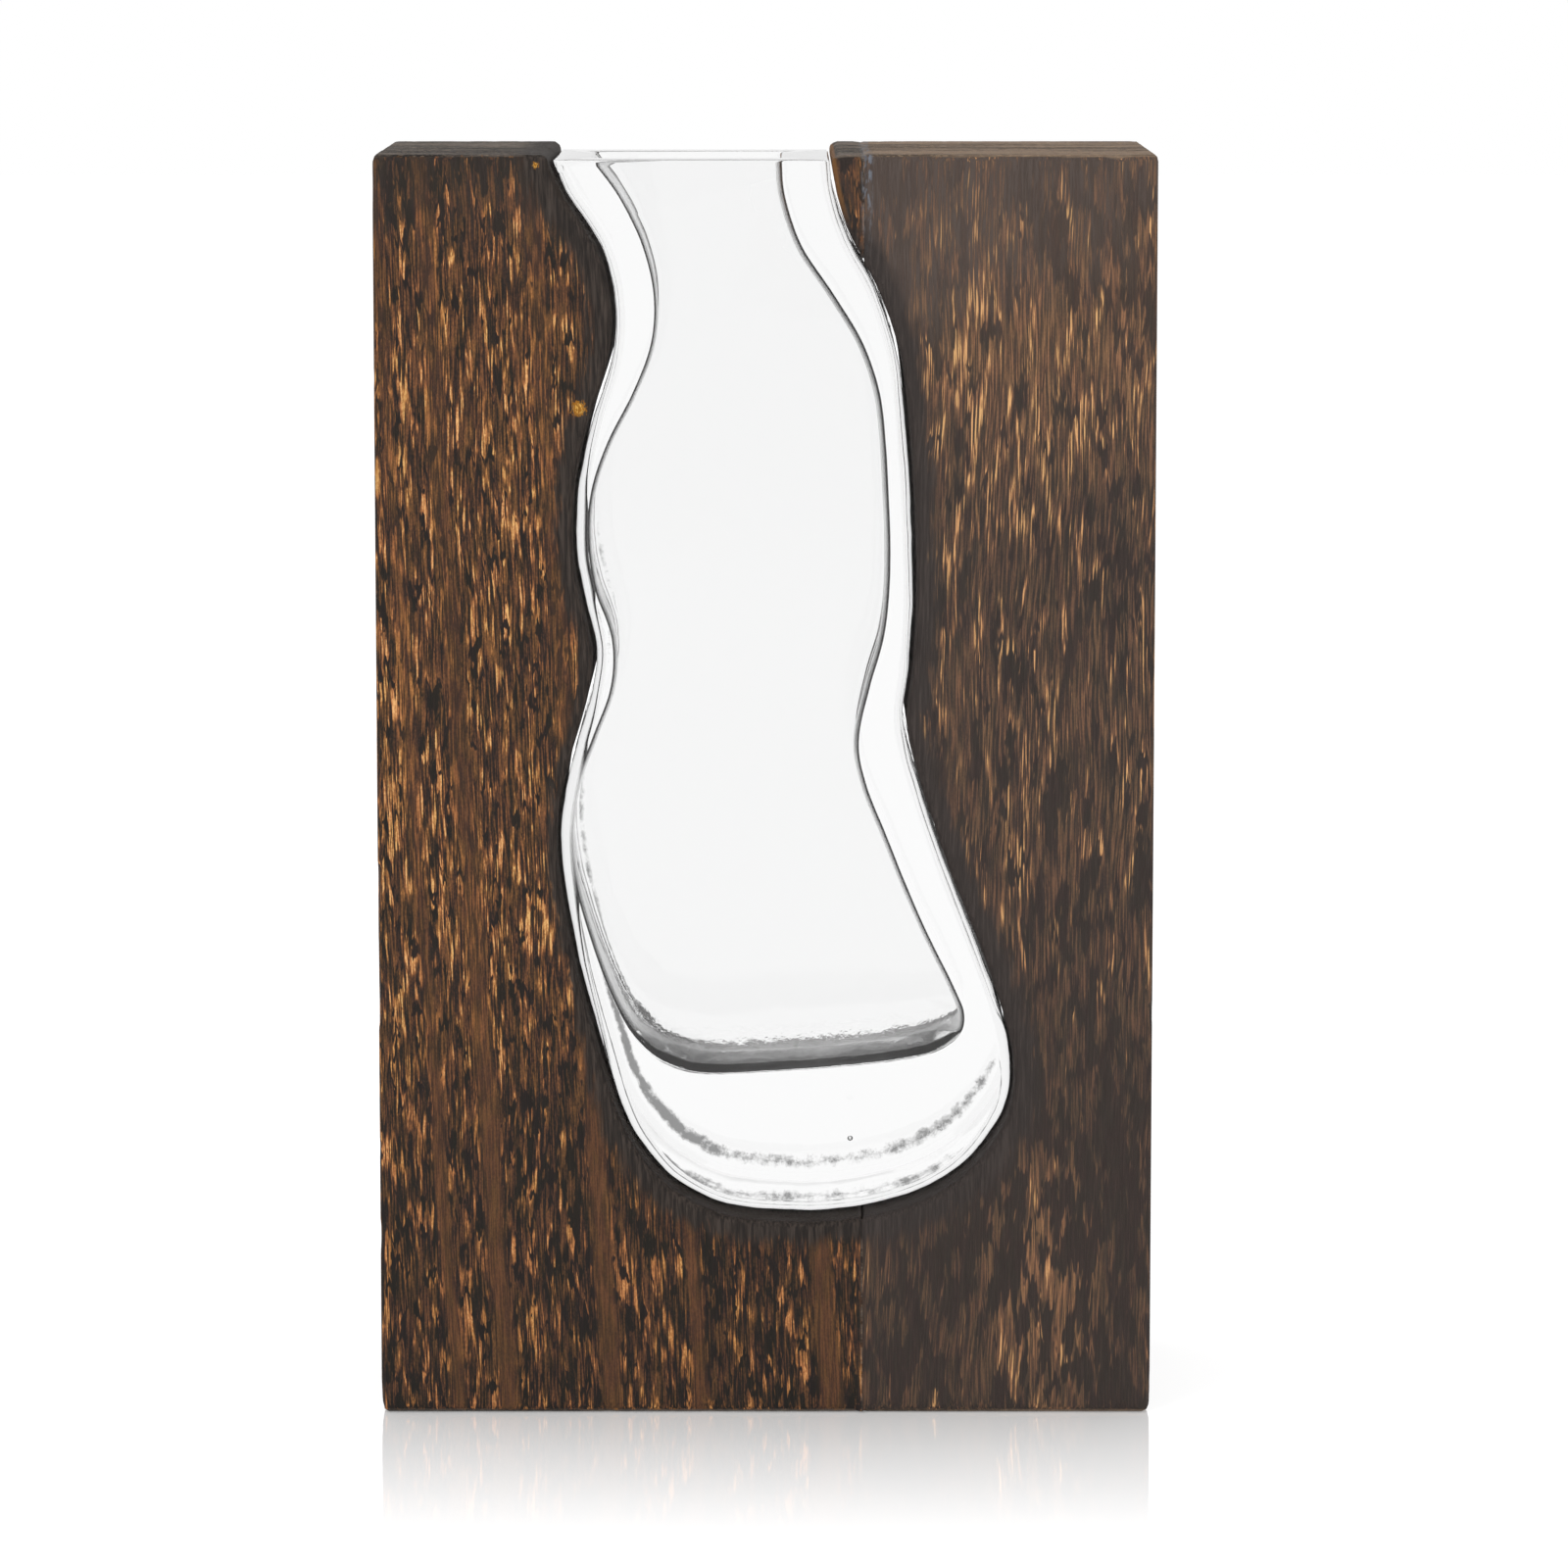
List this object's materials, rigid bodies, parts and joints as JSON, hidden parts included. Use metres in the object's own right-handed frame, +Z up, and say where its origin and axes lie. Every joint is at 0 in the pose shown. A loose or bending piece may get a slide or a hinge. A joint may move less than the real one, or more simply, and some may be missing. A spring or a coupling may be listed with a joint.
{
  "type": "vase",
  "caption": "Thick clear glass vase with a wavy outline and an open rim, standing in a matching cut-out through an upright charred wood block.",
  "frame": {"origin": "middle of the block's base", "axes": "+Z up along the block's height, -Y towards the front face, +X to the right seen from the front"},
  "size_m": [0.155, 0.075, 0.253],
  "materials": {
    "left_wood": "charred and brushed, matt, coarse grain with tan flecks",
    "right_wood": "charred and brushed, matt, fine dark grain",
    "clear_glass": "clear, polished faces, slightly rippled edges"
  },
  "bodies": {
    "block": {"left_board": "left_wood", "right_board": "right_wood", "neck_strip": "left_wood"},
    "vase": {"glass_vase": "clear_glass"}
  },
  "joints": [
    {"name": "vase_slide", "type": "slide", "parent": "block", "child": "vase", "axis": [0, 1, 0], "range_m": [-0.07, 0.07]}
  ]
}
